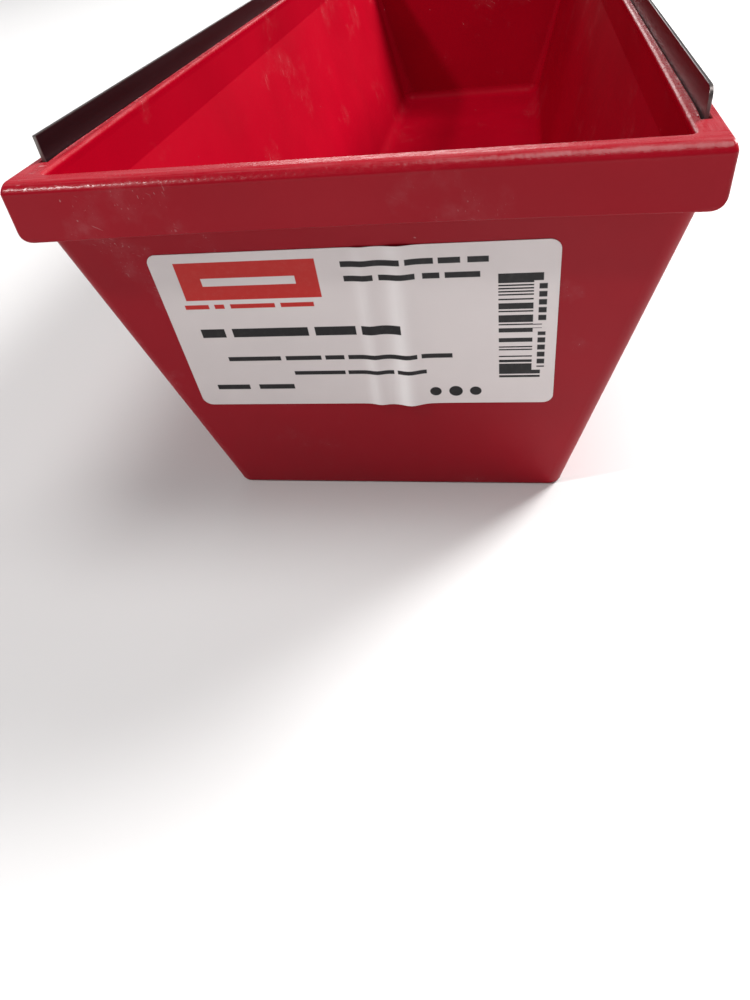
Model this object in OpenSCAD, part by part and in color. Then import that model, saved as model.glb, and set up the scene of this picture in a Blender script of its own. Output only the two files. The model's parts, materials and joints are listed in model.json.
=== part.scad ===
// Mud pan for drywall compound: a moulded tub with leaning walls, a rim with a turned-down
// skirt, a steel wiping edge in a slot along each long side, and a label on one end.
// Origin: middle of the underside. X across the pan, Y along it, Z up. Millimetres.

/* [Tub] */
// Overall length, over the rim
rim_length = 380; // [300:1:460]
// Overall width, over the rim
rim_width = 116; // [94:1:150]
// Height from the table to the top of the rim
pan_height = 76.5; // [60:0.5:110]
// How far a side wall leans out between floor and rim
side_flare = 20.8; // [10:0.1:25]
// How far an end wall leans out between floor and rim
end_flare = 16.7; // [8:0.1:25]
// Thickness of the walls, measured level
wall = 2.1; // [1.6:0.1:2.8]
// Thickness of the floor
floor_thick = 2.5; // [1.6:0.1:4]
// Radius of the tub's four leaning corners, outside
corner_r = 3; // [2:0.1:4]
// Radius where floor and walls meet, inside
floor_fillet = 4; // [2:0.1:5]
// Radius of the inside corners at the mouth
mouth_corner_r = 1.5; // [0.8:0.1:2]
// Height of the upright foot edge under the floor
foot_edge = 0.5; // [0.3:0.1:1]

/* [Rim] */
// Height of the rim band and its skirt
rim_depth = 10; // [8:0.1:14]
// Thickness of the skirt
skirt_wall = 1.8; // [1.2:0.1:2.4]
// How far the skirt draws in from top to bottom
skirt_draft = 0.3; // [0:0.05:0.6]
// Thickness of the rim's top over the hollow in the end skirts
rim_top_thick = 3; // [2:0.1:4]
// Radius of the rim's top edge
rim_edge_r = 1.3; // [0.6:0.1:1.6]
// Radius of the rim's four corners, seen from above
rim_corner_r = 2; // [1:0.1:3]
// Radius of the skirt's lower corners, seen from the side
skirt_corner_r = 3; // [1:0.1:4]
// Distance of an end wall's outer face inside the rim's face, at the top
end_setback = 2; // [2:0.1:3]
// Width of the rail along each long side
rail_width = 4.8; // [4.6:0.1:6]

/* [Steel edges] */
// Thickness of the steel strip
strip_thick = 0.6; // [0.4:0.05:0.8]
// How far the strip stands above the rim
strip_stand = 4.4; // [2:0.1:8]
// Distance from the end of the rim to the end of the strip
strip_inset = 12.2; // [6:0.1:30]
// Distance of the strip's middle from the rim's outer face, at the top
strip_offset = 2.8; // [2.7:0.05:3]
// Outward lean of the strip, in degrees
strip_lean = 4; // [0:0.5:5]
// Radius of the strip's one rounded top corner
strip_corner_r = 2; // [0.5:0.1:2]
// Width of the slot's open mouth
slot_mouth = 1.7; // [1:0.1:1.8]
// Depth of the open mouth, above the part that grips the strip
slot_mouth_depth = 3.2; // [1:0.1:4]
// Plastic left under the slot
slot_floor = 1.7; // [1.2:0.1:2.5]
// Gap between the strip's end and the slot's end
slot_end_gap = 0.3; // [0.1:0.1:1]

/* [Label] */
// Width of the label
label_width = 72.6; // [40:0.1:74]
// Height of the label
label_height = 37.2; // [15:0.1:40]
// Radius of the label's corners
label_corner_r = 2; // [0.5:0.1:4]
// Thickness of the label
label_thick = 0.2; // [0.1:0.05:0.4]
// Distance from the skirt down to the label, along the wall
label_gap = 5; // [2:0.1:8]
// Sideways offset of the label from the middle
label_shift = -1.9; // [-4:0.1:4]

/* [Hidden] */
$fn = 48;
hull_fn = 32;
slab = 0.1;
past = 1;
rim_bottom_z = pan_height - rim_depth;
mouth_width = rim_width;
mouth_length = rim_length - 2 * end_setback;
floor_width = mouth_width - 2 * side_flare;
floor_length = mouth_length - 2 * end_flare;
rail_face_x = rim_width / 2 - rail_width;
strip_x = rim_width / 2 - strip_offset;
strip_length = rim_length - 2 * strip_inset;
slot_length = strip_length + 2 * slot_end_gap;
slot_depth = rim_depth - slot_floor;
strip_height = slot_depth + strip_stand;
end_lean = atan(end_flare / pan_height);
end_wall_run = (pan_height - rim_depth) / cos(end_lean);
skirt_hollow_z = pan_height - rim_top_thick;

// Width or length of the tub's outside at height z
function outside_at(floor_size, flare, z) = floor_size + 2 * flare * z / pan_height;

// Rounded rectangle about the origin
module rounded_rectangle(size_x, size_y, r) {
    square([size_x - 2 * r, size_y], center = true);
    square([size_x, size_y - 2 * r], center = true);
    for (sx = [-1, 1], sy = [-1, 1])
        translate([sx * (size_x / 2 - r), sy * (size_y / 2 - r)])
            circle(r);
}

// Rectangle standing on the X axis, with its own radius for the top and the bottom corners
module band_outline(top_size, bottom_size, depth, top_r, bottom_r) {
    half_top = top_size / 2;
    half_bottom = bottom_size / 2;
    polygon([
        [-half_bottom + bottom_r, 0],
        [half_bottom - bottom_r, 0],
        [half_bottom, bottom_r],
        [half_top, depth - top_r],
        [half_top - top_r, depth],
        [-half_top + top_r, depth],
        [-half_top, depth - top_r],
        [-half_bottom, bottom_r]
    ]);
    for (s = [-1, 1]) {
        translate([s * (half_bottom - bottom_r), bottom_r])
            circle(bottom_r);
        translate([s * (half_top - top_r), depth - top_r])
            circle(top_r);
    }
}

// Solid block of the rim band: its two side views and its plan, each with round corners
module rim_block() {
    translate([0, 0, rim_bottom_z])
        intersection() {
            rotate([90, 0, 0])
                linear_extrude(rim_length + 2 * past, center = true)
                    band_outline(rim_width, rim_width - 2 * skirt_draft, rim_depth, rim_edge_r, skirt_corner_r);
            rotate([90, 0, 90])
                linear_extrude(rim_width + 2 * past, center = true)
                    band_outline(rim_length, rim_length - 2 * skirt_draft, rim_depth, rim_edge_r, skirt_corner_r);
            translate([0, 0, -past])
                linear_extrude(rim_depth + 2 * past)
                    rounded_rectangle(rim_width, rim_length, rim_corner_r);
        }
}

// Four thin discs or four balls at the corners of a rectangle
module corner_discs(size_x, size_y, r, z) {
    for (sx = [-1, 1], sy = [-1, 1])
        translate([sx * (size_x / 2 - r), sy * (size_y / 2 - r), z])
            cylinder(r = r, h = slab, $fn = hull_fn);
}

module corner_balls(size_x, size_y, r, z) {
    for (sx = [-1, 1], sy = [-1, 1])
        translate([sx * (size_x / 2 - r), sy * (size_y / 2 - r), z])
            sphere(r, $fn = hull_fn);
}

// Outside of the tub: leaning walls on a short upright foot edge
module tub_outside() {
    foot_width = outside_at(floor_width, side_flare, foot_edge);
    foot_length = outside_at(floor_length, end_flare, foot_edge);
    top_z = pan_height - rim_edge_r - slab;
    linear_extrude(foot_edge + slab)
        rounded_rectangle(foot_width, foot_length, corner_r);
    hull() {
        corner_discs(foot_width, foot_length, corner_r, foot_edge);
        corner_discs(
            outside_at(floor_width, side_flare, top_z),
            outside_at(floor_length, end_flare, top_z),
            corner_r,
            top_z
        );
    }
}

// Space inside the tub, narrowed at the top by the two rails
module tub_inside() {
    ball_z = floor_thick + floor_fillet;
    top_z = pan_height + past;
    intersection() {
        hull() {
            corner_balls(
                outside_at(floor_width, side_flare, ball_z) - 2 * wall,
                outside_at(floor_length, end_flare, ball_z) - 2 * wall,
                floor_fillet,
                ball_z
            );
            corner_discs(
                outside_at(floor_width, side_flare, top_z) - 2 * wall,
                outside_at(floor_length, end_flare, top_z) - 2 * wall,
                mouth_corner_r,
                top_z
            );
        }
        linear_extrude(pan_height + 2 * past)
            rounded_rectangle(2 * rail_face_x, rim_length, mouth_corner_r);
    }
}

// Hollow behind each end skirt, open downwards
module end_hollows() {
    hollow_length = rim_length / 2 - skirt_draft - skirt_wall;
    for (s = [-1, 1])
        translate([0, s * hollow_length / 2, rim_bottom_z - past])
            linear_extrude(skirt_hollow_z - rim_bottom_z + past)
                rounded_rectangle(2 * rail_face_x, hollow_length, mouth_corner_r);
}

// Slot of one side: a thin part that grips the strip, under a wider mouth
module slot(side) {
    translate([side * strip_x, 0, pan_height])
        rotate([0, side * strip_lean, 0]) {
            translate([0, 0, -slot_depth / 2])
                cube([strip_thick, slot_length, slot_depth], center = true);
            translate([0, 0, (past - slot_mouth_depth) / 2])
                cube([slot_mouth, slot_length, slot_mouth_depth + past], center = true);
        }
}

module pan_body() {
    color("crimson")
        difference() {
            union() {
                difference() {
                    rim_block();
                    end_hollows();
                }
                tub_outside();
            }
            tub_inside();
            slot(-1);
            slot(1);
        }
}

// Steel strip seen from the side, its lower edge on the X axis, with one rounded top corner
module strip_outline() {
    difference() {
        translate([-strip_length / 2, 0])
            square([strip_length, strip_height]);
        translate([-strip_length / 2, strip_height - strip_corner_r])
            difference() {
                translate([-past, 0])
                    square([strip_corner_r + past, strip_corner_r + past]);
                translate([strip_corner_r, 0])
                    circle(strip_corner_r);
            }
    }
}

// Steel strip of one side, standing on the floor of its slot
module strip(side) {
    translate([side * strip_x, 0, pan_height])
        rotate([0, side * strip_lean, 0])
            translate([0, 0, -slot_depth])
                rotate([0, 0, side > 0 ? 0 : 180])
                    rotate([90, 0, 90])
                        linear_extrude(strip_thick, center = true)
                            strip_outline();
}

module left_edge() {
    color("dimgray")
        strip(-1);
}

module right_edge() {
    color("dimgray")
        strip(1);
}

// Label lying flat on the outer face of the near end wall
module label() {
    color("whitesmoke")
        translate([0, -floor_length / 2, 0])
            rotate([90 + end_lean, 0, 0])
                translate([label_shift, end_wall_run - label_gap - label_height / 2, 0])
                    linear_extrude(label_thick)
                        rounded_rectangle(label_width, label_height, label_corner_r);
}

pan_body();
left_edge();
right_edge();
label();
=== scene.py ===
import json
import bpy
import numpy as np
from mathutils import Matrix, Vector

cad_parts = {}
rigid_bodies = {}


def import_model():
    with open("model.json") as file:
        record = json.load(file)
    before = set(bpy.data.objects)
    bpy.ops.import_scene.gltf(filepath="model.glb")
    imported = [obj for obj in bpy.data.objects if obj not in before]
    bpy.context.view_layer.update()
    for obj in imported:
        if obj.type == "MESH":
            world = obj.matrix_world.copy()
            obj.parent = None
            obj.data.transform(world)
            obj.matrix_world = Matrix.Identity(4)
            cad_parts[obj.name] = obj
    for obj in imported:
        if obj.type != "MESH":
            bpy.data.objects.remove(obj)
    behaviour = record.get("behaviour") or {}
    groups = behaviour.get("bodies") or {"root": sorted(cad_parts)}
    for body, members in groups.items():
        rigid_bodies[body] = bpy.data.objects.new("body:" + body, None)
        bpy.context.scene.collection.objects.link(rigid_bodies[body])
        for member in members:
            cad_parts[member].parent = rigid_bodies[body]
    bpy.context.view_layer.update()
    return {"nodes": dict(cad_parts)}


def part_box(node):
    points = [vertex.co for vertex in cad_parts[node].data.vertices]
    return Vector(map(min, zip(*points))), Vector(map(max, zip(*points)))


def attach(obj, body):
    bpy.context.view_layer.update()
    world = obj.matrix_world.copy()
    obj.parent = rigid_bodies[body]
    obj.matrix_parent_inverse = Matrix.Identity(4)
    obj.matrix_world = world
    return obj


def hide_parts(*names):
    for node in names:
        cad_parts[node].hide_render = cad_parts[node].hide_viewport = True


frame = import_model()
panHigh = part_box("pan_body")[1]
labelLow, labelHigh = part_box("label")
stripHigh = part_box("right_edge")[1]
mm = 0.001    # shapes are worked out in millimetres and stored in metres
print("frame loaded:", ", ".join(sorted(frame["nodes"])))


def addMesh(name, points, faces, material):
    # One object from an array of points in millimetres and a list of faces.
    mesh = bpy.data.meshes.new(name)
    mesh.from_pydata((points * mm).tolist(), [], faces)
    mesh.validate()
    mesh.shade_smooth()
    mesh.materials.append(material)
    made = bpy.data.objects.new(name, mesh)
    bpy.context.scene.collection.objects.link(made)
    return made


def gridFaces(rows, columns, closed):
    # Quads between neighbouring rows; with closed, the last column joins the first.
    row = np.arange(rows - 1)[:, None]
    column = np.arange(columns if closed else columns - 1)[None, :]
    nextColumn = (column + 1) % columns
    a = row * columns + column
    b = (row + 1) * columns + column
    c = (row + 1) * columns + nextColumn
    d = row * columns + nextColumn
    return np.stack([a, b, c, d], axis=-1).reshape(-1, 4).tolist()


def tubeFaces(rows, columns):
    # A closed grid whose first row and last row are each filled by one face, in that order at the end.
    faces = gridFaces(rows, columns, closed=True)
    total = rows * columns
    faces.append(list(range(columns)))
    faces.append(list(range(total - 1, total - columns - 1, -1)))
    return faces


def finishEdges(piece, angle, keepFlat=True):
    # Edges sharper than the angle stay sharp, and broad faces keep their own normal.
    piece.data.set_sharp_from_angle(angle=np.radians(angle))
    if keepFlat:
        weighted = piece.modifiers.new("weightedNormal", "WEIGHTED_NORMAL")
        weighted.keep_sharp = True
        weighted.weight = 50


def arc(start, stop, count):
    # Angles in radians from start to stop, given in degrees.
    return np.radians(np.linspace(start, stop, count))


def startMaterial(name):
    # A new material with its nodes, its links and its shader.
    material = bpy.data.materials.new(name)
    material.use_nodes = True
    nodes = material.node_tree.nodes
    return material, nodes, material.node_tree.links, nodes["Principled BSDF"]


def objectCoords(nodes):
    return nodes.new("ShaderNodeTexCoord").outputs["Object"]


def noise(nodes, links, coords, scale, detail=3.0, rough=0.5, stretch=(1, 1, 1)):
    # Noise in object space, its pattern stretched by a Mapping node.
    mapping = nodes.new("ShaderNodeMapping")
    mapping.inputs["Scale"].default_value = stretch
    links.new(coords, mapping.inputs["Vector"])
    made = nodes.new("ShaderNodeTexNoise")
    made.inputs["Scale"].default_value = scale
    made.inputs["Detail"].default_value = detail
    made.inputs["Roughness"].default_value = rough
    links.new(mapping.outputs["Vector"], made.inputs["Vector"])
    return made.outputs["Fac"]


def between(nodes, links, value, low, high, outLow=0.0, outHigh=1.0):
    # Straight line from one range to another, held at its ends.
    made = nodes.new("ShaderNodeMapRange")
    made.inputs["From Min"].default_value = low
    made.inputs["From Max"].default_value = high
    made.inputs["To Min"].default_value = outLow
    made.inputs["To Max"].default_value = outHigh
    links.new(value, made.inputs["Value"])
    return made.outputs["Result"]


def fadeIn(nodes, links, place, span, outLow=0.0, outHigh=1.0):
    # The same over a span of places in millimetres.
    return between(nodes, links, place, span[0] * mm, span[1] * mm, outLow, outHigh)


def math2(nodes, links, kind, first, second=None):
    # A Math node; each input is a socket or a number.
    made = nodes.new("ShaderNodeMath")
    made.operation = kind
    for socket, value in zip(made.inputs, (first, second)):
        if value is None:
            continue
        if isinstance(value, (int, float)):
            socket.default_value = value
        else:
            links.new(value, socket)
    return made.outputs["Value"]


def blendColour(nodes, links, amount, first, second):
    # Colour between first and second; each is a socket or an RGB triple.
    made = nodes.new("ShaderNodeMix")
    made.data_type = "RGBA"
    links.new(amount, made.inputs["Factor"])
    for socket, value in ((made.inputs[6], first), (made.inputs[7], second)):    # the colour sockets
        if isinstance(value, tuple):
            socket.default_value = (*value, 1.0)
        else:
            links.new(value, socket)
    return made.outputs[2]


def bump(nodes, links, height, distance, strength, before=None):
    # Bump whose height is 0 to 1 over the distance in millimetres.
    made = nodes.new("ShaderNodeBump")
    made.inputs["Distance"].default_value = distance * mm
    made.inputs["Strength"].default_value = strength
    links.new(height, made.inputs["Height"])
    if before is not None:
        links.new(before, made.inputs["Normal"])
    return made.outputs["Normal"]


# Red plastic. The same mix serves inside, with less shine and fainter smudges.
plastic = {
    "red": (0.315, 0.0006, 0.0100),
    "deepRed": (0.265, 0.0005, 0.0080),
    "haze": (0.50, 0.24, 0.25),
    "scratchWhite": (0.62, 0.38, 0.38),
    "wallRough": (0.36, 0.50),
    "rimRough": (0.18, 0.30),
    "smudge": 0.20,           # strength of the whitish smudges outside and inside
    "innerSmudge": 0.07,
    "shine": 0.2,             # specular level outside, and inside where the mould was left matt
    "innerShine": 0.02,
    "ior": 1.49,
    "rubbed": 0.17,           # most haze on the rubbed rim
    "featherWhite": 0.5,      # how white the burrs, the scratches and the specks are
    "scratch": 0.40,
    "speck": 0.35,
    "rimZ": (76.0, 76.2),     # millimetres: the rubbed top of the rim fades in here
    "edgeZ": (74.5, 75.5),    # its slightly wavy edges here
    "endY": (184.0, 184.6),   # its end stretches here
    "featherX": (53.2, 54.2), # the burred land inside each slot here
    "featherEnd": (54.9, 55.0),
}


def streaks(nodes, links, coords):
    # Fine rubbed lines that run across the pan on the end rims and along it everywhere else.
    parts = nodes.new("ShaderNodeSeparateXYZ")
    links.new(coords, parts.inputs["Vector"])
    away = math2(nodes, links, "ABSOLUTE", parts.outputs["Y"])
    onEnd = fadeIn(nodes, links, away, plastic["endY"])
    along = noise(nodes, links, coords, 1900, 4, 0.65, (1, 0.045, 1))
    across = noise(nodes, links, coords, 1900, 4, 0.65, (0.045, 1, 1))
    onRim = fadeIn(nodes, links, parts.outputs["Z"], plastic["rimZ"])
    onEdge = fadeIn(nodes, links, parts.outputs["Z"], plastic["edgeZ"])
    keep = math2(nodes, links, "SUBTRACT", 1.0, onEnd)
    lines = math2(nodes, links, "ADD", math2(nodes, links, "MULTIPLY", along, keep),
                  math2(nodes, links, "MULTIPLY", across, onEnd))
    return lines, onRim, onEdge


def hairs(nodes, links, coords, turn, length, rarity):
    # Fine straight scratches: noise drawn out along one turned axis, kept where it is highest.
    mapping = nodes.new("ShaderNodeMapping")
    mapping.inputs["Rotation"].default_value = [np.radians(value) for value in turn]
    links.new(coords, mapping.inputs["Vector"])
    field = noise(nodes, links, mapping.outputs["Vector"], 2900, 1.0, 0.4, (1, 1, 0.3 / length))
    return between(nodes, links, field, rarity, rarity + 0.05)


def feathers(nodes, links, coords, onRim):
    # Short raised lines across the rail, on the narrow land just inside each slot.
    parts = nodes.new("ShaderNodeSeparateXYZ")
    links.new(coords, parts.inputs["Vector"])
    aside = math2(nodes, links, "ABSOLUTE", parts.outputs["X"])
    near = fadeIn(nodes, links, aside, plastic["featherX"])
    short = fadeIn(nodes, links, aside, plastic["featherEnd"], 1, 0)
    field = noise(nodes, links, coords, 1500, 3, 0.6, (0.25, 1, 1))
    where = noise(nodes, links, coords, 40, 2, 0.5)
    lines = math2(nodes, links, "MULTIPLY", between(nodes, links, field, 0.54, 0.64),
                  between(nodes, links, where, 0.42, 0.58, 0.15, 1.0))
    return math2(nodes, links, "MULTIPLY", math2(nodes, links, "MULTIPLY", lines, onRim),
                 math2(nodes, links, "MULTIPLY", near, short))


def makePlastic(name, shine, smudge):
    # Clouded red with smudges, scratches and specks; the rim's edges are smoother and wavy, and its
    # top is rubbed.
    material, nodes, links, shader = startMaterial(name)
    coords = objectCoords(nodes)
    cloud = noise(nodes, links, coords, 18, 4, 0.55)
    grain = noise(nodes, links, coords, 1100, 3, 0.6)
    flow = noise(nodes, links, coords, 34, 5, 0.6, (1, 0.3, 1))
    patch = noise(nodes, links, coords, 42, 5, 0.62, (1, 0.6, 1))
    smear = noise(nodes, links, coords, 210, 4, 0.7)
    wave = noise(nodes, links, coords, 520, 3, 0.6)
    speck = noise(nodes, links, coords, 620, 2, 0.5)
    lines, onRim, onEdge = streaks(nodes, links, coords)
    thin = math2(nodes, links, "MAXIMUM", hairs(nodes, links, coords, (24, 12, 0), 16, 0.70),
                 hairs(nodes, links, coords, (8, 62, 10), 12, 0.72))
    thin = math2(nodes, links, "MULTIPLY", thin, between(nodes, links, patch, 0.58, 0.67))

    colour = blendColour(nodes, links, between(nodes, links, cloud, 0.35, 0.68),
                         plastic["red"], plastic["deepRed"])
    haze = math2(nodes, links, "MULTIPLY", between(nodes, links, patch, 0.57, 0.72, 0.0, 1.0),
                 between(nodes, links, smear, 0.42, 0.66, 0.15, 1.0))
    haze = math2(nodes, links, "MULTIPLY", haze, smudge)
    fine = between(nodes, links, lines, 0.36, 0.72, 0.0, plastic["rubbed"])
    rubbed = math2(nodes, links, "MULTIPLY", onRim, fine)
    feather = feathers(nodes, links, coords, onRim)
    haze = math2(nodes, links, "MAXIMUM", math2(nodes, links, "MAXIMUM", haze, rubbed),
                 math2(nodes, links, "MULTIPLY", feather, plastic["featherWhite"]))
    colour = blendColour(nodes, links, haze, colour, plastic["haze"])
    marks = math2(nodes, links, "MAXIMUM", math2(nodes, links, "MULTIPLY", thin, plastic["scratch"]),
                  between(nodes, links, speck, 0.79, 0.81, 0.0, plastic["speck"]))
    colour = blendColour(nodes, links, marks, colour, plastic["scratchWhite"])
    links.new(colour, shader.inputs["Base Color"])

    rough = between(nodes, links, flow, 0.3, 0.7, *plastic["wallRough"])
    edgeRough = between(nodes, links, wave, 0.3, 0.7, *plastic["rimRough"])
    blend = nodes.new("ShaderNodeMix")
    links.new(onEdge, blend.inputs["Factor"])
    links.new(rough, blend.inputs[2])
    links.new(edgeRough, blend.inputs[3])
    rough = math2(nodes, links, "ADD", blend.outputs[0], math2(nodes, links, "MULTIPLY", rubbed, 0.5))
    links.new(rough, shader.inputs["Roughness"])
    shader.inputs["IOR"].default_value = plastic["ior"]
    shader.inputs["Specular IOR Level"].default_value = shine

    normal = bump(nodes, links, cloud, 0.8, 0.08)
    normal = bump(nodes, links, grain, 0.03, 0.30, normal)
    rimHeight = math2(nodes, links, "MULTIPLY", onEdge, wave)
    normal = bump(nodes, links, rimHeight, 0.16, 0.75, normal)
    normal = bump(nodes, links, math2(nodes, links, "MULTIPLY", onRim, lines), 0.03, 0.22, normal)
    normal = bump(nodes, links, thin, 0.03, 0.5, normal)
    normal = bump(nodes, links, feather, 0.12, 0.8, normal)
    links.new(normal, shader.inputs["Normal"])
    return material


steel = {
    "blued": (0.026, 0.008, 0.011),
    "bare": (0.26, 0.25, 0.235),
    "rough": 0.34,
    "dustAndReflection": (0.110, 0.070, 0.074),
    "dustAndReflectionZ": (77.4, 79.9),    # millimetres: a grey film, partly dust and partly a painted reflection of the rail beside it, fades out up the right strip
    "metal": (0.85, 0.25),    # metallic share of clean steel and of steel under the dust and painted reflection
}


def makeSteel():
    # Blued steel, worn bare by the piece's own attribute, with a grey film low on the right strip, partly
    # dust and partly a painted reflection.
    material, nodes, links, shader = startMaterial("bluedSteel")
    coords = objectCoords(nodes)
    streak = noise(nodes, links, coords, 260, 4, 0.6, (1, 0.04, 1))
    blotch = noise(nodes, links, coords, 35, 4, 0.6, (1, 0.4, 1))
    edge = nodes.new("ShaderNodeAttribute")
    edge.attribute_name = "edgeWear"
    worn = math2(nodes, links, "MULTIPLY", edge.outputs["Fac"],
                 between(nodes, links, blotch, 0.3, 0.6, 0.4, 0.9))
    colour = blendColour(nodes, links, worn, steel["blued"], steel["bare"])
    parts = nodes.new("ShaderNodeSeparateXYZ")
    links.new(coords, parts.inputs["Vector"])
    # Painted reflection, partly dust: grey colour and less metal low on the right strip only.
    down = fadeIn(nodes, links, parts.outputs["Z"], steel["dustAndReflectionZ"], 1, 0)
    onRight = math2(nodes, links, "GREATER_THAN", parts.outputs["X"], 0.0)
    dustAndReflection = math2(nodes, links, "MULTIPLY", down, onRight)
    dustAndReflection = math2(nodes, links, "MULTIPLY", dustAndReflection, between(nodes, links, blotch, 0.25, 0.6, 0.55, 1.0))
    colour = blendColour(nodes, links, dustAndReflection, colour, steel["dustAndReflection"])
    links.new(colour, shader.inputs["Base Color"])
    links.new(between(nodes, links, dustAndReflection, 0, 1, *steel["metal"]), shader.inputs["Metallic"])
    rough = between(nodes, links, streak, 0.3, 0.7, steel["rough"] - 0.06, steel["rough"] + 0.08)
    links.new(rough, shader.inputs["Roughness"])
    normal = bump(nodes, links, streak, 0.03, 0.35)
    normal = bump(nodes, links, blotch, 0.15, 0.15, normal)
    links.new(normal, shader.inputs["Normal"])
    return material


redPlastic = makePlastic("redPlastic", plastic["shine"], plastic["smudge"])
insidePlastic = makePlastic("insidePlastic", plastic["innerShine"], plastic["innerSmudge"])
bluedSteel = makeSteel()
print("plastic and steel made")


pan = {
    "sideFlare": 20.8,        # how far a side wall leans out, floor to rim
    "endFlare": 16.7,         # the same for an end wall
    "wall": 2.1,              # wall thickness, measured level
    "floor": 2.5,
    "floorFillet": 5.5,
    "tubCorner": 3.0,         # plan radius of the outer wall's corners
    "footRound": 0.8,
    "endSetback": 2.0,        # outer end wall inside the rim's face, at the top
    "rail": 4.8,              # width of the rail along each long side
    "rimDepth": 10.0,
    "edgeDrop": 1.5,          # top outer edge: how far down it reaches,
    "edgeSide": 0.8,          # how far in on a long side
    "edgeEnd": 2.4,           # and on an end
    "edgeStop": 35.0,         # degrees: where its ellipse breaks off at the parting line
    "rimCorner": 0.8,         # plan radius of the rim's corners
    "topCorner": 0.3,         # the same where the flat top ends
    "mouthRound": 0.75,       # top inner edge,
    "mouthSteps": 7,          # and the rings round it
    "drawInLeft": 1.1,        # how much each rail's top edge comes in towards the pan's ends
    "drawInRight": 0.6,
    "drawInFromY": 100.0,
    "endThicker": 0.8,        # extra thickness of an end wall at the mouth
    "mouthCorner": 1.3,       # plan radius of the mouth's corners
    "skirtDraft": 0.3,
    "skirtRound": 3.0,        # lower edge of the long sides
    "skirtLip": 0.3,          # lower edge of the end skirts
    "skirtWall": 1.8,
    "skirtArch": 0.45,        # how much higher an end skirt's middle is
    "hollowHalf": 51.5,       # half the width of the hollow behind an end skirt
    "hollowTop": 3.0,         # plastic above it
    "hollowStep": 0.05,       # run of its upright ends
}
slot = {
    "lean": 4.0,              # degrees
    "offset": 2.8,            # strip's middle inside the rim's face
    "outerGap": 0.5,          # open mouth beside the strip, outside
    "innerGap": 0.12,         # and inside, where the lip closes in on the strip
    "innerGapEnd": 0.5,       # inside, at the slot's ends
    "gapFade": 11.0,          # stretch over which it opens
    "mouthDepth": 3.2,
    "grip": 0.6,
    "depth": 8.3,
    "lip": 0.2,
    "half": 178.1,            # half its length
    "endStep": 0.05,          # run of its upright ends
}
topZ = panHigh.z / mm
halfWidth = panHigh.x / mm
halfLength = panHigh.y / mm
skirtZ = topZ - pan["rimDepth"]
slotX = halfWidth - slot["offset"]
stripHalf = stripHigh.y / mm


def tubHalf(z):
    # Half width and half length of the tub's outside: the top value less the flare still to come.
    left = 1 - z / topZ
    return halfWidth - pan["sideFlare"] * left, halfLength - pan["endSetback"] - pan["endFlare"] * left


def makeStations():
    # Stations round a rounded rectangle, anticlockwise from above. Each has a direction away from its
    # corner's centre, the aim that says which corner that is, and on a straight its own X or Y.
    sideY = np.linspace(-slot["half"], slot["half"], 121)
    sideY = np.concatenate([[-slot["half"] - slot["endStep"]], sideY, [slot["half"] + slot["endStep"]]])
    hollowX = np.linspace(-pan["hollowHalf"], pan["hollowHalf"], 29)
    justOut = pan["hollowHalf"] + pan["hollowStep"]
    hollowX = np.concatenate([[-justOut], hollowX, [justOut]])
    corner = np.linspace(0, 90, 9)
    blocks = []
    for turn in range(4):
        along = (sideY, -hollowX, -sideY, hollowX)[turn]
        angle = np.full(len(along), 90.0 * turn)
        blocks.append(np.stack([angle, angle, along, np.full(len(along), turn % 2 + 1.0)]))
        bend = 90.0 * turn + corner
        aim = np.full(len(corner), 90.0 * turn + 45)
        blocks.append(np.stack([bend, aim, np.zeros(len(corner)), np.zeros(len(corner))]))
    angle, aim, along, kind = np.concatenate(blocks, axis=1)
    return np.radians(angle), np.radians(aim), along, kind.astype(int)    # 0 corner, 1 side, 2 end


def ring(a, b, r, zSide, zEnd=None, bendX=None, arch=0.0, slotAt=None, hollowAt=None):
    # A rounded rectangle of half sizes a and b. Its height goes from zEnd on the ends to zSide on the
    # long sides along an ellipse that starts at bendX.
    zEnd = zSide if zEnd is None else zEnd
    bendX = a - r if bendX is None else bendX
    return dict(a=a, b=b, r=r, zSide=zSide, zEnd=zEnd, bendX=bendX, arch=arch,
                slotAt=slotAt, hollowAt=hollowAt)


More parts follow.
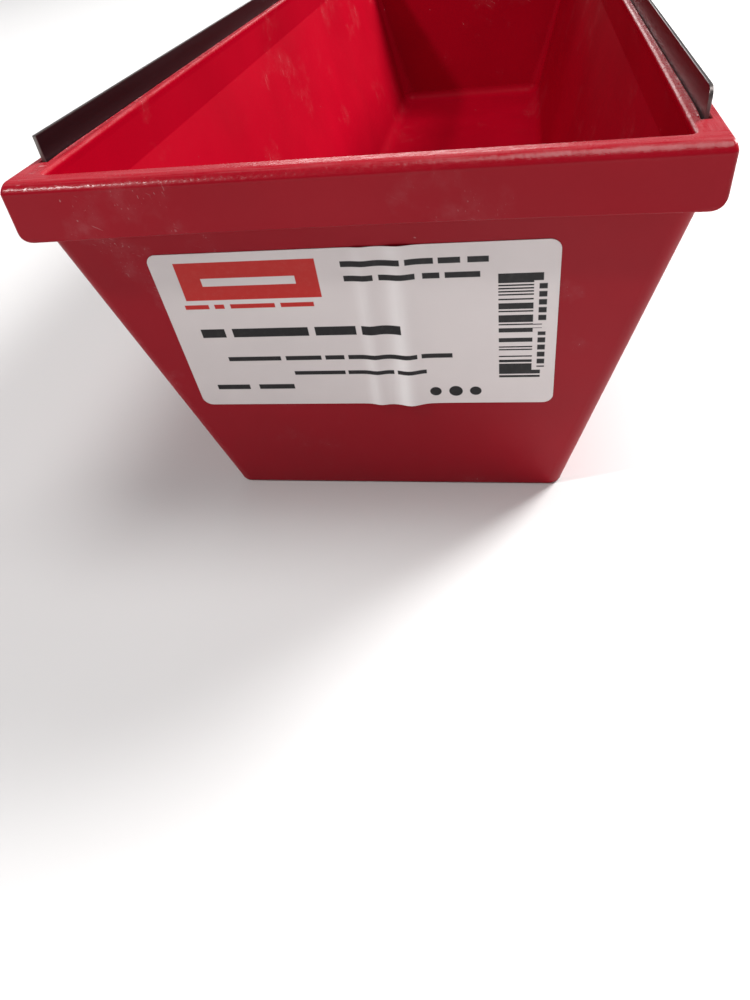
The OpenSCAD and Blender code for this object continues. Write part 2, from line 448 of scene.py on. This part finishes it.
def insideRings():
    # Floor fillet as an arc tangent to floor and wall, the leaning wall, the upright rail face.
    leanSide = np.degrees(np.arctan(pan["sideFlare"] / topZ))
    leanEnd = np.degrees(np.arctan(pan["endFlare"] / topZ))
    big = pan["floorFillet"]
    midZ = pan["floor"] + big
    centreA = tubHalf(midZ - big * np.sin(np.radians(leanSide)))[0] - pan["wall"]
    centreA -= big * np.cos(np.radians(leanSide))
    centreB = tubHalf(midZ - big * np.sin(np.radians(leanEnd)))[1] - pan["wall"]
    centreB -= big * np.cos(np.radians(leanEnd))
    made = []
    for inset in (12.0, 0.6):
        made.append(ring(centreA - inset, centreB - inset, 0.4, pan["floor"]))
    for side, end in zip(arc(-90, -leanSide, 9), arc(-90, -leanEnd, 9)):
        made.append(ring(centreA + big * np.cos(side), centreB + big * np.cos(end),
                         max(0.4, big * np.cos(side)), midZ + big * np.sin(side),
                         midZ + big * np.sin(end)))
    railX = halfWidth - pan["rail"]
    creaseZ = topZ * (1 - (halfWidth - pan["wall"] - railX) / pan["sideFlare"])
    lowZ = made[-1]["zSide"] + 0.8
    highZ = topZ - pan["mouthRound"]
    heights = np.concatenate([np.linspace(lowZ, creaseZ - 0.15, 9), [creaseZ, creaseZ + 0.15],
                              np.linspace(creaseZ + 2, highZ - 0.3, 4)])
    for z in heights:
        outA, outB = tubHalf(z)
        reach = (z - midZ) / (topZ - midZ)
        r = big + (pan["mouthCorner"] - big) * np.clip(reach, 0, 1) ** 0.5
        thick = pan["wall"] + pan["endThicker"] * z / topZ
        made.append(ring(min(railX, outA - pan["wall"]), outB - thick, r, z))
    small = pan["mouthRound"]
    touchB = tubHalf(highZ + small * np.sin(np.radians(leanEnd)))[1] - pan["wall"] - pan["endThicker"]
    centreB = touchB + small * np.cos(np.radians(leanEnd))
    steps = pan["mouthSteps"]
    for side, end in zip(arc(180, 90, steps), arc(180 - leanEnd, 90, steps)):
        made.append(ring(railX + small + small * np.cos(side), centreB + small * np.cos(end),
                         pan["mouthCorner"] + small * (1 + np.cos(side)),
                         highZ + small * np.sin(side), highZ + small * np.sin(end)))
    return made


def topRings(last):
    # Flat top of the rim with the slot: points (u, w) across and down, turned by the slot's lean.
    thin = slot["grip"] / 2
    wide = thin + slot["outerGap"]
    near = thin + slot["innerGap"]
    lip = slot["lip"]
    ledge = -slot["mouthDepth"]
    path = [(-near - lip - 0.05, 0), (-near - lip, 0), (-near - lip * 0.3, -lip * 0.3),
            (-near, -lip), (-near, ledge), (-thin, ledge), (-thin, -slot["depth"]),
            (thin, -slot["depth"]), (thin, ledge), (wide, ledge), (wide, -lip),
            (wide + lip * 0.3, -lip * 0.3), (wide + lip, 0), (wide + lip + 0.05, 0)]
    outA = halfWidth - pan["edgeSide"]
    outB = halfLength - pan["edgeEnd"]
    outR = pan["topCorner"]
    made = []
    for step, (u, w) in enumerate(path):
        share = step / (len(path) - 1)
        a = slotX + (2 * share - 1) * (wide + lip + 0.05)
        b = last["b"] + 0.15 + (outB - 0.3 - last["b"]) * share
        r = last["r"] + (outR - last["r"]) * share
        made.append(ring(a, b, r, topZ, slotAt=(u, w)))
    made.append(ring(outA - 0.05, outB - 0.05, outR, topZ))
    return made


def skirtRings():
    # Top edge as part of an ellipse that stops short of upright at the parting line, drafted face, a
    # big round under the long sides and a small one under the ends.
    drop = pan["edgeDrop"]
    stop = pan["edgeStop"]
    made = []
    for angle in arc(90, stop, 12):
        out = np.cos(angle) / np.cos(np.radians(stop))
        down = (1 - np.sin(angle)) / (1 - np.sin(np.radians(stop)))
        made.append(ring(halfWidth - pan["edgeSide"] * (1 - out), halfLength - pan["edgeEnd"] * (1 - out),
                         pan["topCorner"] + (pan["rimCorner"] - pan["topCorner"]) * out,
                         topZ - drop * down))
    under = pan["skirtRound"]
    lip = pan["skirtLip"]
    faceA = halfWidth - pan["skirtDraft"] * (1 - under / pan["rimDepth"])
    faceB = halfLength - pan["skirtDraft"] * (1 - lip / pan["rimDepth"])
    startA = faceA - under
    top = topZ - drop
    for share in (0.03, 0.35, 0.65, 0.94):
        inset = pan["skirtDraft"] * share
        made.append(ring(halfWidth - inset * 0.7, halfLength - inset, pan["rimCorner"],
                         top + (skirtZ + under - top) * share, top + (skirtZ + lip - top) * share,
                         startA, share))
    wallA = tubHalf(skirtZ)[0]
    stop = -np.degrees(np.arccos((wallA + 0.02 - startA) / under))
    for side, end in zip(arc(0, stop, 9), arc(0, -90, 9)):
        made.append(ring(startA + under * np.cos(side), faceB - lip + lip * np.cos(end),
                         pan["rimCorner"] - lip * (1 - np.cos(end)),
                         skirtZ + under + under * np.sin(side), skirtZ + lip + lip * np.sin(end),
                         startA, 1.0))
    return made


def underRings():
    # Underside of the end skirts with the hollow behind them; on the long sides these rings lie
    # close together on the tub's wall.
    innerB = halfLength - pan["skirtDraft"] - pan["skirtWall"]
    ceiling = topZ - pan["hollowTop"]
    wallLow = tubHalf(skirtZ)[1]
    wallHigh = tubHalf(ceiling - 0.2)[1]
    lip = pan["skirtLip"]
    outerB = innerB + 1.2
    hollow = [(outerB, skirtZ), (innerB + lip, skirtZ), (innerB + 0.09, skirtZ + 0.09),
              (innerB, skirtZ + lip), (innerB + 0.05, ceiling - 0.3), (innerB - 0.1, ceiling),
              (wallHigh + 0.1, ceiling), (wallHigh, ceiling - 0.2), (wallLow, skirtZ)]
    startR = pan["rimCorner"] - pan["skirtLip"]
    made = []
    for step, (b, z) in enumerate(hollow):
        share = step / (len(hollow) - 1)
        zSide = skirtZ - 0.02 * (step + 1)
        flatB = outerB + (wallLow - outerB) * share
        r = startR + (pan["tubCorner"] - startR) * share
        arch = 1.0 if step < 4 else 0.0
        made.append(ring(tubHalf(zSide)[0], flatB, r, zSide, skirtZ, arch=arch, hollowAt=(b, z)))
    return made


def outsideRings():
    # Leaning outer wall down to a rounded foot and the flat underside.
    foot = pan["footRound"]
    made = []
    for z in np.concatenate([[skirtZ - 0.45], np.linspace(skirtZ - 4, foot + 2, 9), [foot + 0.3]]):
        a, b = tubHalf(z)
        made.append(ring(a, b, pan["tubCorner"], z))
    a, b = tubHalf(foot)
    for angle in arc(0, -90, 6):
        inset = foot * (1 - np.cos(angle))
        made.append(ring(a - inset, b - inset, pan["tubCorner"] - inset, foot + foot * np.sin(angle)))
    for inset in (foot + 0.4, foot + 6):
        made.append(ring(a - inset, b - inset, pan["tubCorner"] - foot, 0.0))
    return made


def slotOpening(y):
    # 0 along most of the slot, rising as a parabola to 1 at its ends, where the inner lip stands off.
    return np.clip((np.abs(y) - slot["half"]) / slot["gapFade"] + 1, 0, 1) ** 2


def ringPoints(one, angle, aim, along, kind):
    # Corner centre plus radius times direction, with the straight stretches at their own X or Y,
    # then the slot and hollow detours where the ring has them.
    coreA = one["a"] - one["r"]
    coreB = one["b"] - one["r"]
    squeezeX = min(1.0, coreA / (pan["hollowHalf"] + 0.2))
    squeezeY = min(1.0, coreB / (slot["half"] + 0.2))
    signX = np.sign(np.cos(aim))
    signY = np.sign(np.sin(aim))
    x = np.where(kind == 2, along * squeezeX, signX * coreA) + one["r"] * np.cos(angle)
    y = np.where(kind == 1, along * squeezeY, signY * coreB) + one["r"] * np.sin(angle)
    share = np.clip((np.abs(x) - one["bendX"]) / max(one["a"] - one["bendX"], 1e-6), 0, 1)
    share = np.where(kind == 1, 1.0, share)
    z = one["zEnd"] + (one["zSide"] - one["zEnd"]) * (1 - np.sqrt(1 - share ** 2))
    bow = np.clip(1 - (x / (halfWidth - pan["skirtRound"])) ** 2, 0, 1)
    z = z + np.where(kind == 1, 0.0, one["arch"] * pan["skirtArch"] * bow)
    if one["slotAt"]:
        u, w = one["slotAt"]
        lean = np.radians(slot["lean"])
        inSlot = (kind == 1) & (np.abs(along) < slot["half"] + 0.5 * slot["endStep"])
        side = np.sign(x)
        opening = slotOpening(along)
        u = u - opening * (slot["innerGapEnd"] - slot["innerGap"]) * (u < -slot["grip"] / 2)
        x = np.where(inSlot, side * (slotX + u * np.cos(lean) + w * np.sin(lean)), x)
        z = np.where(inSlot, topZ - (u * np.sin(lean) - w * np.cos(lean)) * (w < 0), z)
    if one["hollowAt"]:
        b, height = one["hollowAt"]
        inHollow = (kind == 2) & (np.abs(along) < pan["hollowHalf"] + 0.4 * pan["hollowStep"])
        y = np.where(inHollow, np.sign(y) * b, y)
        z = np.where(inHollow, height + one["arch"] * pan["skirtArch"] * bow, z)
    return np.stack([x, y, z], axis=1)


def drawIn(points):
    # The rail's upright face leans in towards the pan's ends: a parabola along Y times the height
    # above the crease, fading out before the slot.
    x, y, z = points.T
    creaseZ = topZ * (1 - (pan["rail"] - pan["wall"]) / pan["sideFlare"])
    reach = np.clip((np.abs(y) - pan["drawInFromY"]) / (halfLength - pan["drawInFromY"]), 0, 1)
    height = np.clip((z - creaseZ) / (topZ - pan["mouthRound"] - creaseZ), 0, 1)
    railX = halfWidth - pan["rail"]
    lipX = slotX - 0.9    # just inside the slot
    fade = np.clip((lipX - np.abs(x)) / (lipX - railX - pan["mouthRound"]), 0, 1)
    inside = (np.abs(y) < halfLength - pan["edgeEnd"]) & (z > creaseZ)
    most = np.where(x < 0, pan["drawInLeft"], pan["drawInRight"]) * (np.abs(x) > railX / 2)
    x = x - np.sign(x) * most * reach ** 2 * height * fade * inside
    return np.stack([x, y, z], axis=1)


def makePan():
    angle, aim, along, kind = makeStations()
    rings = insideRings()
    insideCount = len(rings)
    rings += topRings(rings[-1])
    rings += skirtRings()
    rings += underRings()
    rings += outsideRings()
    points = drawIn(np.concatenate([ringPoints(one, angle, aim, along, kind) for one in rings]))
    count = len(angle)
    faces = tubeFaces(len(rings), count)
    piece = addMesh("panBody", points, faces, redPlastic)
    piece.data.materials.append(insidePlastic)
    inside = np.zeros(len(faces), np.int32)
    inside[:count * (insideCount - pan["mouthSteps"])] = 1    # up to where the mouth's round starts
    inside[-2] = 1                                            # the floor's middle
    piece.data.polygons.foreach_set("material_index", inside)
    finishEdges(piece, 35)
    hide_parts("pan_body")
    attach(piece, "root")
    return piece


panBody = makePan()
print("pan body:", len(panBody.data.polygons), "faces")


strip = {
    "thick": 0.6,
    "stand": 4.4,             # height above the rim
    "bevel": 0.07,
    "endBevel": 0.85,         # share of it taken off at both ends; at 1 faces would close up
    "corner": 2.0,            # the one rounded top corner
    "small": 0.15,            # the other corners
    "wearDepth": 0.3,         # bare metal shows this far from an edge
    "bareBevel": 0.4,         # how bare the top's bevels are,
    "bareTop": 0.5,           # and its flat
}


def cornerDrop(away, r):
    # How far a corner's circle lies below its edge at this distance from the end.
    left = np.clip(r - away, 0, r)
    return r - np.sqrt(r ** 2 - left ** 2)


def makeStrip(name, node, side):
    # A thin bevelled section at stations along Y; its top and foot follow the corners' circles, and
    # the bevel draws it in at both ends.
    bevel = strip["bevel"]
    away = np.array([0, 0.03, bevel, 0.15, 0.3, 0.6, 1.0, 1.5, 2.0, 4.0])
    y = np.concatenate([-stripHalf + away, np.linspace(-stripHalf + 10, stripHalf - 10, 60),
                        (stripHalf - away)[::-1]])
    near, far = y + stripHalf, stripHalf - y
    nearR, farR = (strip["corner"], strip["small"]) if side > 0 else (strip["small"], strip["corner"])
    top = strip["stand"] - cornerDrop(near, nearR) - cornerDrop(far, farR)
    foot = -slot["depth"] + cornerDrop(near, strip["small"]) + cornerDrop(far, strip["small"])
    closest = np.minimum(near, far)
    inset = bevel * np.clip(1 - closest / bevel, 0, strip["endBevel"])
    half = strip["thick"] / 2
    face = half - inset
    shy = half - bevel
    below = top - strip["wearDepth"]
    bareBevel, bareTop = strip["bareBevel"], strip["bareTop"]
    section = [(-face, foot + bevel, 0), (-face, below, 0), (-face, top - bevel, bareBevel),
               (-shy, top - inset, bareTop), (shy, top - inset, bareTop), (face, top - bevel, bareBevel),
               (face, below, 0), (face, foot + bevel, 0), (shy, foot + inset, 0), (-shy, foot + inset, 0)]
    lean = np.radians(slot["lean"])
    columns = []
    worn = []
    endWorn = np.clip(1 - closest / strip["wearDepth"], 0, 1)
    for across, up, wear in section:
        x = side * (slotX + up * np.sin(lean)) + across * np.cos(lean)
        z = topZ + up * np.cos(lean) - side * across * np.sin(lean)
        columns.append(np.stack([x, y, z], axis=1))
        worn.append(np.maximum(wear, endWorn))
    points = np.stack(columns, axis=1).reshape(-1, 3)
    faces = [face[::-1] for face in tubeFaces(len(y), len(section))]    # the section runs clockwise
    piece = addMesh(name, points, faces, bluedSteel)
    wear = piece.data.attributes.new("edgeWear", "FLOAT", "POINT")
    wear.data.foreach_set("value", np.stack(worn, axis=1).ravel())
    finishEdges(piece, 30)
    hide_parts(node)
    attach(piece, "root")
    return piece


flash = {
    "step": 0.4,              # spacing along the lip
    "width": 0.26,
    "sunk": 0.2,              # how deep its foot is in the plastic
    "low": 0.03,              # least and most height above the rim
    "tall": 0.36,
    "lean": 0.5,              # sideways lean as a share of height
    "near": -60.0,            # tallest between the near end and this place along Y,
    "fade": 12.0,             # lower past it, over about this length,
    "farShare": 0.25,         # down to this share
    "clear": 1.5,             # bare stretch at each end of the slot
}


def makeFlash(name, side, seed, tall):
    # A ragged bead along the slot's inner lip: height is the least height plus a smoothed random
    # draw to the third power, taller towards the near end.
    random = np.random.default_rng(seed)
    reach = slot["half"] - flash["clear"]
    y = np.arange(-reach, reach, flash["step"])
    draw = random.random(len(y)) ** 3
    draw = 0.6 * draw + 0.2 * np.roll(draw, 1) + 0.2 * np.roll(draw, -1)
    share = flash["farShare"]
    share = share + (1 - share) / (1 + np.exp((y - flash["near"]) / flash["fade"]))
    high = flash["low"] + flash["tall"] * tall * draw * share
    opening = slotOpening(y)
    gap = slot["innerGap"] + opening * (slot["innerGapEnd"] - slot["innerGap"])
    lipX = slotX - slot["grip"] / 2 - gap - slot["lip"] - flash["width"] / 2
    sway = flash["lean"] * high * random.normal(0, 0.6, len(y))
    half = flash["width"] / 2
    outline = [(lipX - half, -flash["sunk"] + 0 * y), (lipX + half, -flash["sunk"] + 0 * y),
               (lipX + half * 0.4 + sway, high * 0.9), (lipX - half * 0.1 + sway, high),
               (lipX - half * 0.7, high * 0.3)]
    rows = [np.stack([side * across, y, topZ + up], axis=1) for across, up in outline]
    points = np.stack(rows, axis=1).reshape(-1, 3)
    faces = tubeFaces(len(y), len(outline))
    if side < 0:    # the outline is mirrored there
        faces = [face[::-1] for face in faces]
    piece = addMesh(name, points, faces, redPlastic)
    finishEdges(piece, 60, keepFlat=False)
    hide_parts("pan_body")
    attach(piece, "root")


makeFlash("leftFlash", -1, 11, 0.4)
makeFlash("rightFlash", 1, 12, 1.0)
makeStrip("leftEdge", "left_edge", -1)
makeStrip("rightEdge", "right_edge", 1)
print("flash and steel edges made")


label = {
    "width": 72.6,
    "height": 37.2,
    "corner": 2.0,
    "thick": 0.12,
    "creases": ((2.4, 1.5, 0.42), (8.8, 2.1, 0.68)),    # place across, half width, height
    "creaseLean": 0.02,
    "edgeLift": (7.0, 5.0, 0.30),                       # lower edge: place, half width, height
    "paper": (0.71, 0.647, 0.640),
    "highlightColour": (0.93, 0.90, 0.895),                       # painted highlight: paler colour on the creases' left flanks
    "highlightShare": 0.75,
    "ink": (0.009, 0.008, 0.009),
    "inkRed": (0.50, 0.018, 0.014),
}
wallLean = np.arctan(pan["endFlare"] / topZ)
labelMidX = (labelLow.x + labelHigh.x) / 2 / mm
labelMidZ = (labelLow.z + labelHigh.z) / 2 / mm


def labelPoints(u, v, lift):
    # Point u across and v up the leaning end wall from the label's middle, lifted off the wall; each
    # crease adds a smooth ridge.
    ridge = np.zeros_like(u)
    low = 0.5 - v / label["height"]
    for place, half, height in label["creases"]:
        middle = place + label["creaseLean"] * v
        ridge = ridge + height * (0.55 + 0.45 * low) * np.exp(-((u - middle) / half) ** 2)
    place, half, height = label["edgeLift"]
    ridge = ridge + height * low ** 6 * np.exp(-((u - place) / half) ** 2)
    out = lift + ridge
    run = labelMidZ / np.cos(wallLean) + v
    x = labelMidX + u
    y = -tubHalf(0)[1] - run * np.sin(wallLean) - out * np.cos(wallLean)
    z = run * np.cos(wallLean) - out * np.sin(wallLean)
    return np.stack([x, y, z], axis=-1)


def makeLabel(paper):
    # Grid across and up; near its left and right edge the height follows the corner's circle.
    half = label["width"] / 2
    r = label["corner"]
    edge = half - r + r * np.sin(arc(0, 90, 9))
    u = np.concatenate([-edge[::-1], np.linspace(-half + r, half - r, 91)[1:-1], edge])
    past = np.clip((np.abs(u) - (half - r)) / r, 0, 1)
    tall = label["height"] / 2 - r + r * np.sqrt(1 - past ** 2)
    v = np.linspace(-1, 1, 33)[:, None] * tall[None, :]
    u = np.broadcast_to(u, v.shape)
    front = labelPoints(u, v, label["thick"])
    back = labelPoints(u, v, 0.0)
    rows, columns = v.shape
    points = np.concatenate([front.reshape(-1, 3), back.reshape(-1, 3)])
    frontFaces = np.array(gridFaces(rows, columns, closed=False))[:, ::-1]
    backFaces = frontFaces[:, ::-1] + rows * columns
    index = np.arange(rows * columns).reshape(rows, columns)
    border = np.concatenate([index[0, :-1], index[:-1, -1], index[-1, :0:-1], index[:0:-1, 0]])
    following = np.roll(border, -1)
    size = rows * columns
    rim = np.stack([border, border + size, following + size, following], axis=1)
    faces = frontFaces.tolist() + backFaces.tolist() + rim.tolist()
    piece = addMesh("labelSheet", points, faces, paper)
    # Painted highlight mask: lighter colour on the creases' left flanks, stronger for the taller crease.
    creaseHighlight = np.zeros(v.shape)
    tallest = max(height for _, _, height in label["creases"])
    for place, wide, height in label["creases"]:    # painted highlight on the left flank of each crease, where it would catch light
        flank = place + label["creaseLean"] * v - 0.6 * wide
        fade = (0.75 - 0.5 * v / label["height"]) * height / tallest
        creaseHighlight = np.maximum(creaseHighlight, fade * np.exp(-((u - flank) / (0.75 * wide)) ** 2))
    creaseHighlight = np.concatenate([creaseHighlight.ravel(), creaseHighlight.ravel()])
    piece.data.attributes.new("creaseHighlight", "FLOAT", "POINT").data.foreach_set("value", creaseHighlight)
    layer = piece.data.uv_layers.new(name="flat")
    corners = np.zeros(len(piece.data.loops), np.int32)
    piece.data.loops.foreach_get("vertex_index", corners)
    flat = np.stack([u.ravel(), v.ravel()], axis=1)
    flat = np.concatenate([flat, flat])[corners]
    layer.data.foreach_set("uv", flat.ravel())
    finishEdges(piece, 50, keepFlat=False)
    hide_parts("label")
    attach(piece, "root")
    return piece


# The print is plain rules in place of lettering, in millimetres from the label's middle: each line
# has its low and high edge and the stretches across that are filled.
inkLines = [
    (14.7, 15.9, ((-1.2, 9.2), (10.1, 15.0), (15.8, 19.6), (20.8, 24.4))),
    (11.7, 12.9, ((-1.0, 4.2), (5.2, 11.6), (12.9, 15.9), (16.8, 22.9))),
    (-0.4, 1.7, ((-31.0, -26.2), (-24.7, -9.7), (-8.4, -0.5), (0.6, 8.0))),
    (-6.5, -5.4, ((-27.4, -16.6), (-15.6, -8.4), (-7.6, -3.8), (-3.0, 10.5), (11.3, 17.2))),
    (-10.4, -9.4, ((-14.6, -4.2), (-3.6, 5.6), (6.3, 12.0))),
    (-14.2, -12.9, ((-31.9, -24.9), (-22.9, -15.4))),
]
redLines = [(6.5, 7.5, ((-32.3, -27.6), (-26.5, -24.6), (-23.4, -14.8), (-13.7, -7.4)))]
redBlock = (-31.6, -5.6, 8.5, 16.7)
blockRule = (-27.4, -9.8, 11.6, 13.3)
dots = ((13.4, 1.15), (17.4, 1.35), (21.3, 1.15))
dotUp = -15.3
barCode = {
    "across": (25.9, 32.0),
    "guardAcross": (25.9, 33.6),
    "up": (-11.8, 13.0),
    "guards": ((-11.8, -9.9), (0.2, 1.2), (10.6, 13.0)),
    "module": 0.33,
    "filled": 0.44,
    "figures": (32.9, 34.3),
    "figureUp": ((-9.2, -0.6), (1.9, 10.0)),
    "figureStep": 1.72,
    "start": 17.37,           # where the fixed noise that fills the bars is read from
}


def makePaper():
    material, nodes, links, shader = startMaterial("labelPaper")
    coords = objectCoords(nodes)
    fibre = noise(nodes, links, coords, 900, 4, 0.6)
    blotch = noise(nodes, links, coords, 60, 3, 0.5)
    uv = nodes.new("ShaderNodeUVMap")
    uv.uv_map = "flat"
    parts = nodes.new("ShaderNodeSeparateXYZ")
    links.new(uv.outputs["UV"], parts.inputs["Vector"])
    across, up = parts.outputs["X"], parts.outputs["Y"]
    soft = 0.05    # millimetres over which the ink's edge fades

    def span(value, low, high):
        # 1 between low and high, from the distance to their middle.
        away = math2(nodes, links, "SUBTRACT", value, (low + high) / 2)
        away = math2(nodes, links, "ABSOLUTE", away)
        half = (high - low) / 2
        return between(nodes, links, away, half - soft, half + soft, 1.0, 0.0)

    def most(masks):
        total = masks[0]
        for mask in masks[1:]:
            total = math2(nodes, links, "MAXIMUM", total, mask)
        return total

    def both(first, second):
        return math2(nodes, links, "MULTIPLY", first, second)

    def printLines(lines):
        return most([both(span(up, low, high), most([span(across, *word) for word in words]))
                     for low, high, words in lines])

    def block(left, right, low, high):
        return both(span(across, left, right), span(up, low, high))

    def dot(place, radius):
        aside = math2(nodes, links, "SUBTRACT", across, place)
        above = math2(nodes, links, "SUBTRACT", up, dotUp)
        far = math2(nodes, links, "SQRT", math2(nodes, links, "ADD", both(aside, aside),
                                                both(above, above)))
        return between(nodes, links, far, radius - soft, radius + soft, 1.0, 0.0)

    def bars():
        count = math2(nodes, links, "FLOOR", math2(nodes, links, "DIVIDE", up, barCode["module"]))
        random = nodes.new("ShaderNodeTexWhiteNoise")
        random.noise_dimensions = "1D"
        links.new(math2(nodes, links, "ADD", count, barCode["start"]), random.inputs["W"])
        filled = math2(nodes, links, "GREATER_THAN", random.outputs["Value"], barCode["filled"])
        low = both(span(up, *barCode["up"]), span(across, *barCode["across"]))
        tall = both(most([span(up, *guard) for guard in barCode["guards"]]),
                    span(across, *barCode["guardAcross"]))
        step = math2(nodes, links, "FRACT", math2(nodes, links, "DIVIDE", up, barCode["figureStep"]))
        figures = both(span(step, 0.15, 0.85), span(across, *barCode["figures"]))
        figures = both(figures, most([span(up, *stretch) for stretch in barCode["figureUp"]]))
        return most([both(filled, most([low, tall])), figures])

    paper = blendColour(nodes, links, between(nodes, links, blotch, 0.3, 0.7),
                        label["paper"], tuple(0.95 * value for value in label["paper"]))
    red = math2(nodes, links, "SUBTRACT", block(*redBlock), block(*blockRule))
    red = most([red, printLines(redLines)])
    black = most([printLines(inkLines), bars(), *[dot(*one) for one in dots]])
    # Painted highlight: the paper is lightened on the creases' left flanks.
    creaseHighlight = nodes.new("ShaderNodeAttribute")
    creaseHighlight.attribute_name = "creaseHighlight"
    paintedHighlight = math2(nodes, links, "MULTIPLY", creaseHighlight.outputs["Fac"], label["highlightShare"])
    paper = blendColour(nodes, links, paintedHighlight, paper, label["highlightColour"])
    uneven = between(nodes, links, fibre, 0.25, 0.5, 0.985, 1.0)
    colour = blendColour(nodes, links, both(red, uneven), paper, label["inkRed"])
    colour = blendColour(nodes, links, both(black, uneven), colour, label["ink"])
    links.new(colour, shader.inputs["Base Color"])
    rough = between(nodes, links, fibre, 0.3, 0.7, 0.38, 0.52)
    links.new(rough, shader.inputs["Roughness"])
    shader.inputs["Specular IOR Level"].default_value = 0.3
    normal = bump(nodes, links, blotch, 0.25, 0.2)
    links.new(bump(nodes, links, fibre, 0.02, 0.3, normal), shader.inputs["Normal"])
    return material


makeLabel(makePaper())
print("label made")


studio = {
    "floor": (0.62, 0.62, 0.62),
    "world": (0.95, 0.96, 1.0),
    "worldStrength": 0.25,
    "floorHalf": 5.0,         # metres
}
camera = {
    "place": (27.51, -313.20, 113.01),     # millimetres
    "turn": (50.64, 5.774, 8.290),         # degrees about X, Y and Z
    "lens": 28.56,
}
# Each light: place in metres, width and height in metres, power in watts, colour; all look at the
# origin, under the pan's middle.
lights = {
    "keySoftbox": ((1.35, 1.0, 1.15), 0.7, 0.7, 84, (1.0, 0.99, 0.98)),
    "topSoftbox": ((0.3, -0.15, 1.7), 0.8, 0.8, 17, (1.0, 0.98, 0.97)),
    "backSoftbox": ((-0.25, 1.7, 0.42), 0.7, 0.35, 2.6, (1.0, 0.95, 0.93)),
    "frontLamp": ((-1.05, -0.95, 1.60), 0.13, 0.13, 18, (1.0, 0.97, 0.95)),
}


def makeFloor():
    material, nodes, links, shader = startMaterial("paleFloor")
    soft = noise(nodes, links, objectCoords(nodes), 6, 4, 0.5)
    colour = blendColour(nodes, links, soft, studio["floor"], tuple(0.98 * v for v in studio["floor"]))
    links.new(colour, shader.inputs["Base Color"])
    shader.inputs["Roughness"].default_value = 0.85
    half = studio["floorHalf"] / mm
    corners = np.array([(-half, -half, 0), (half, -half, 0), (half, half, 0), (-half, half, 0)])
    floor = addMesh("floor", corners, [(0, 1, 2, 3)], material)


def makeLights():
    world = bpy.data.worlds.new("studio")
    world.use_nodes = True
    background = world.node_tree.nodes["Background"]
    background.inputs["Color"].default_value = (*studio["world"], 1.0)
    background.inputs["Strength"].default_value = studio["worldStrength"]
    bpy.context.scene.world = world
    for name, (place, width, height, power, colour) in lights.items():
        data = bpy.data.lights.new(name, "AREA")
        data.shape = "RECTANGLE"
        data.size = width
        data.size_y = height
        data.energy = power
        data.color = colour
        lamp = bpy.data.objects.new(name, data)
        lamp.location = place
        lamp.rotation_euler = (-Vector(place)).to_track_quat("-Z", "Y").to_euler()
        lamp.visible_camera = False
        bpy.context.scene.collection.objects.link(lamp)


def makeCamera():
    data = bpy.data.cameras.new("camera")
    data.sensor_width = 36
    data.lens = camera["lens"]
    data.clip_start = 0.01
    data.clip_end = 50
    seen = bpy.data.objects.new("camera", data)
    seen.location = [value * mm for value in camera["place"]]
    seen.rotation_euler = [np.radians(value) for value in camera["turn"]]
    bpy.context.scene.collection.objects.link(seen)
    bpy.context.scene.camera = seen
    bpy.context.scene.view_settings.view_transform = "Standard"


makeFloor()
makeLights()
makeCamera()
print("studio made")
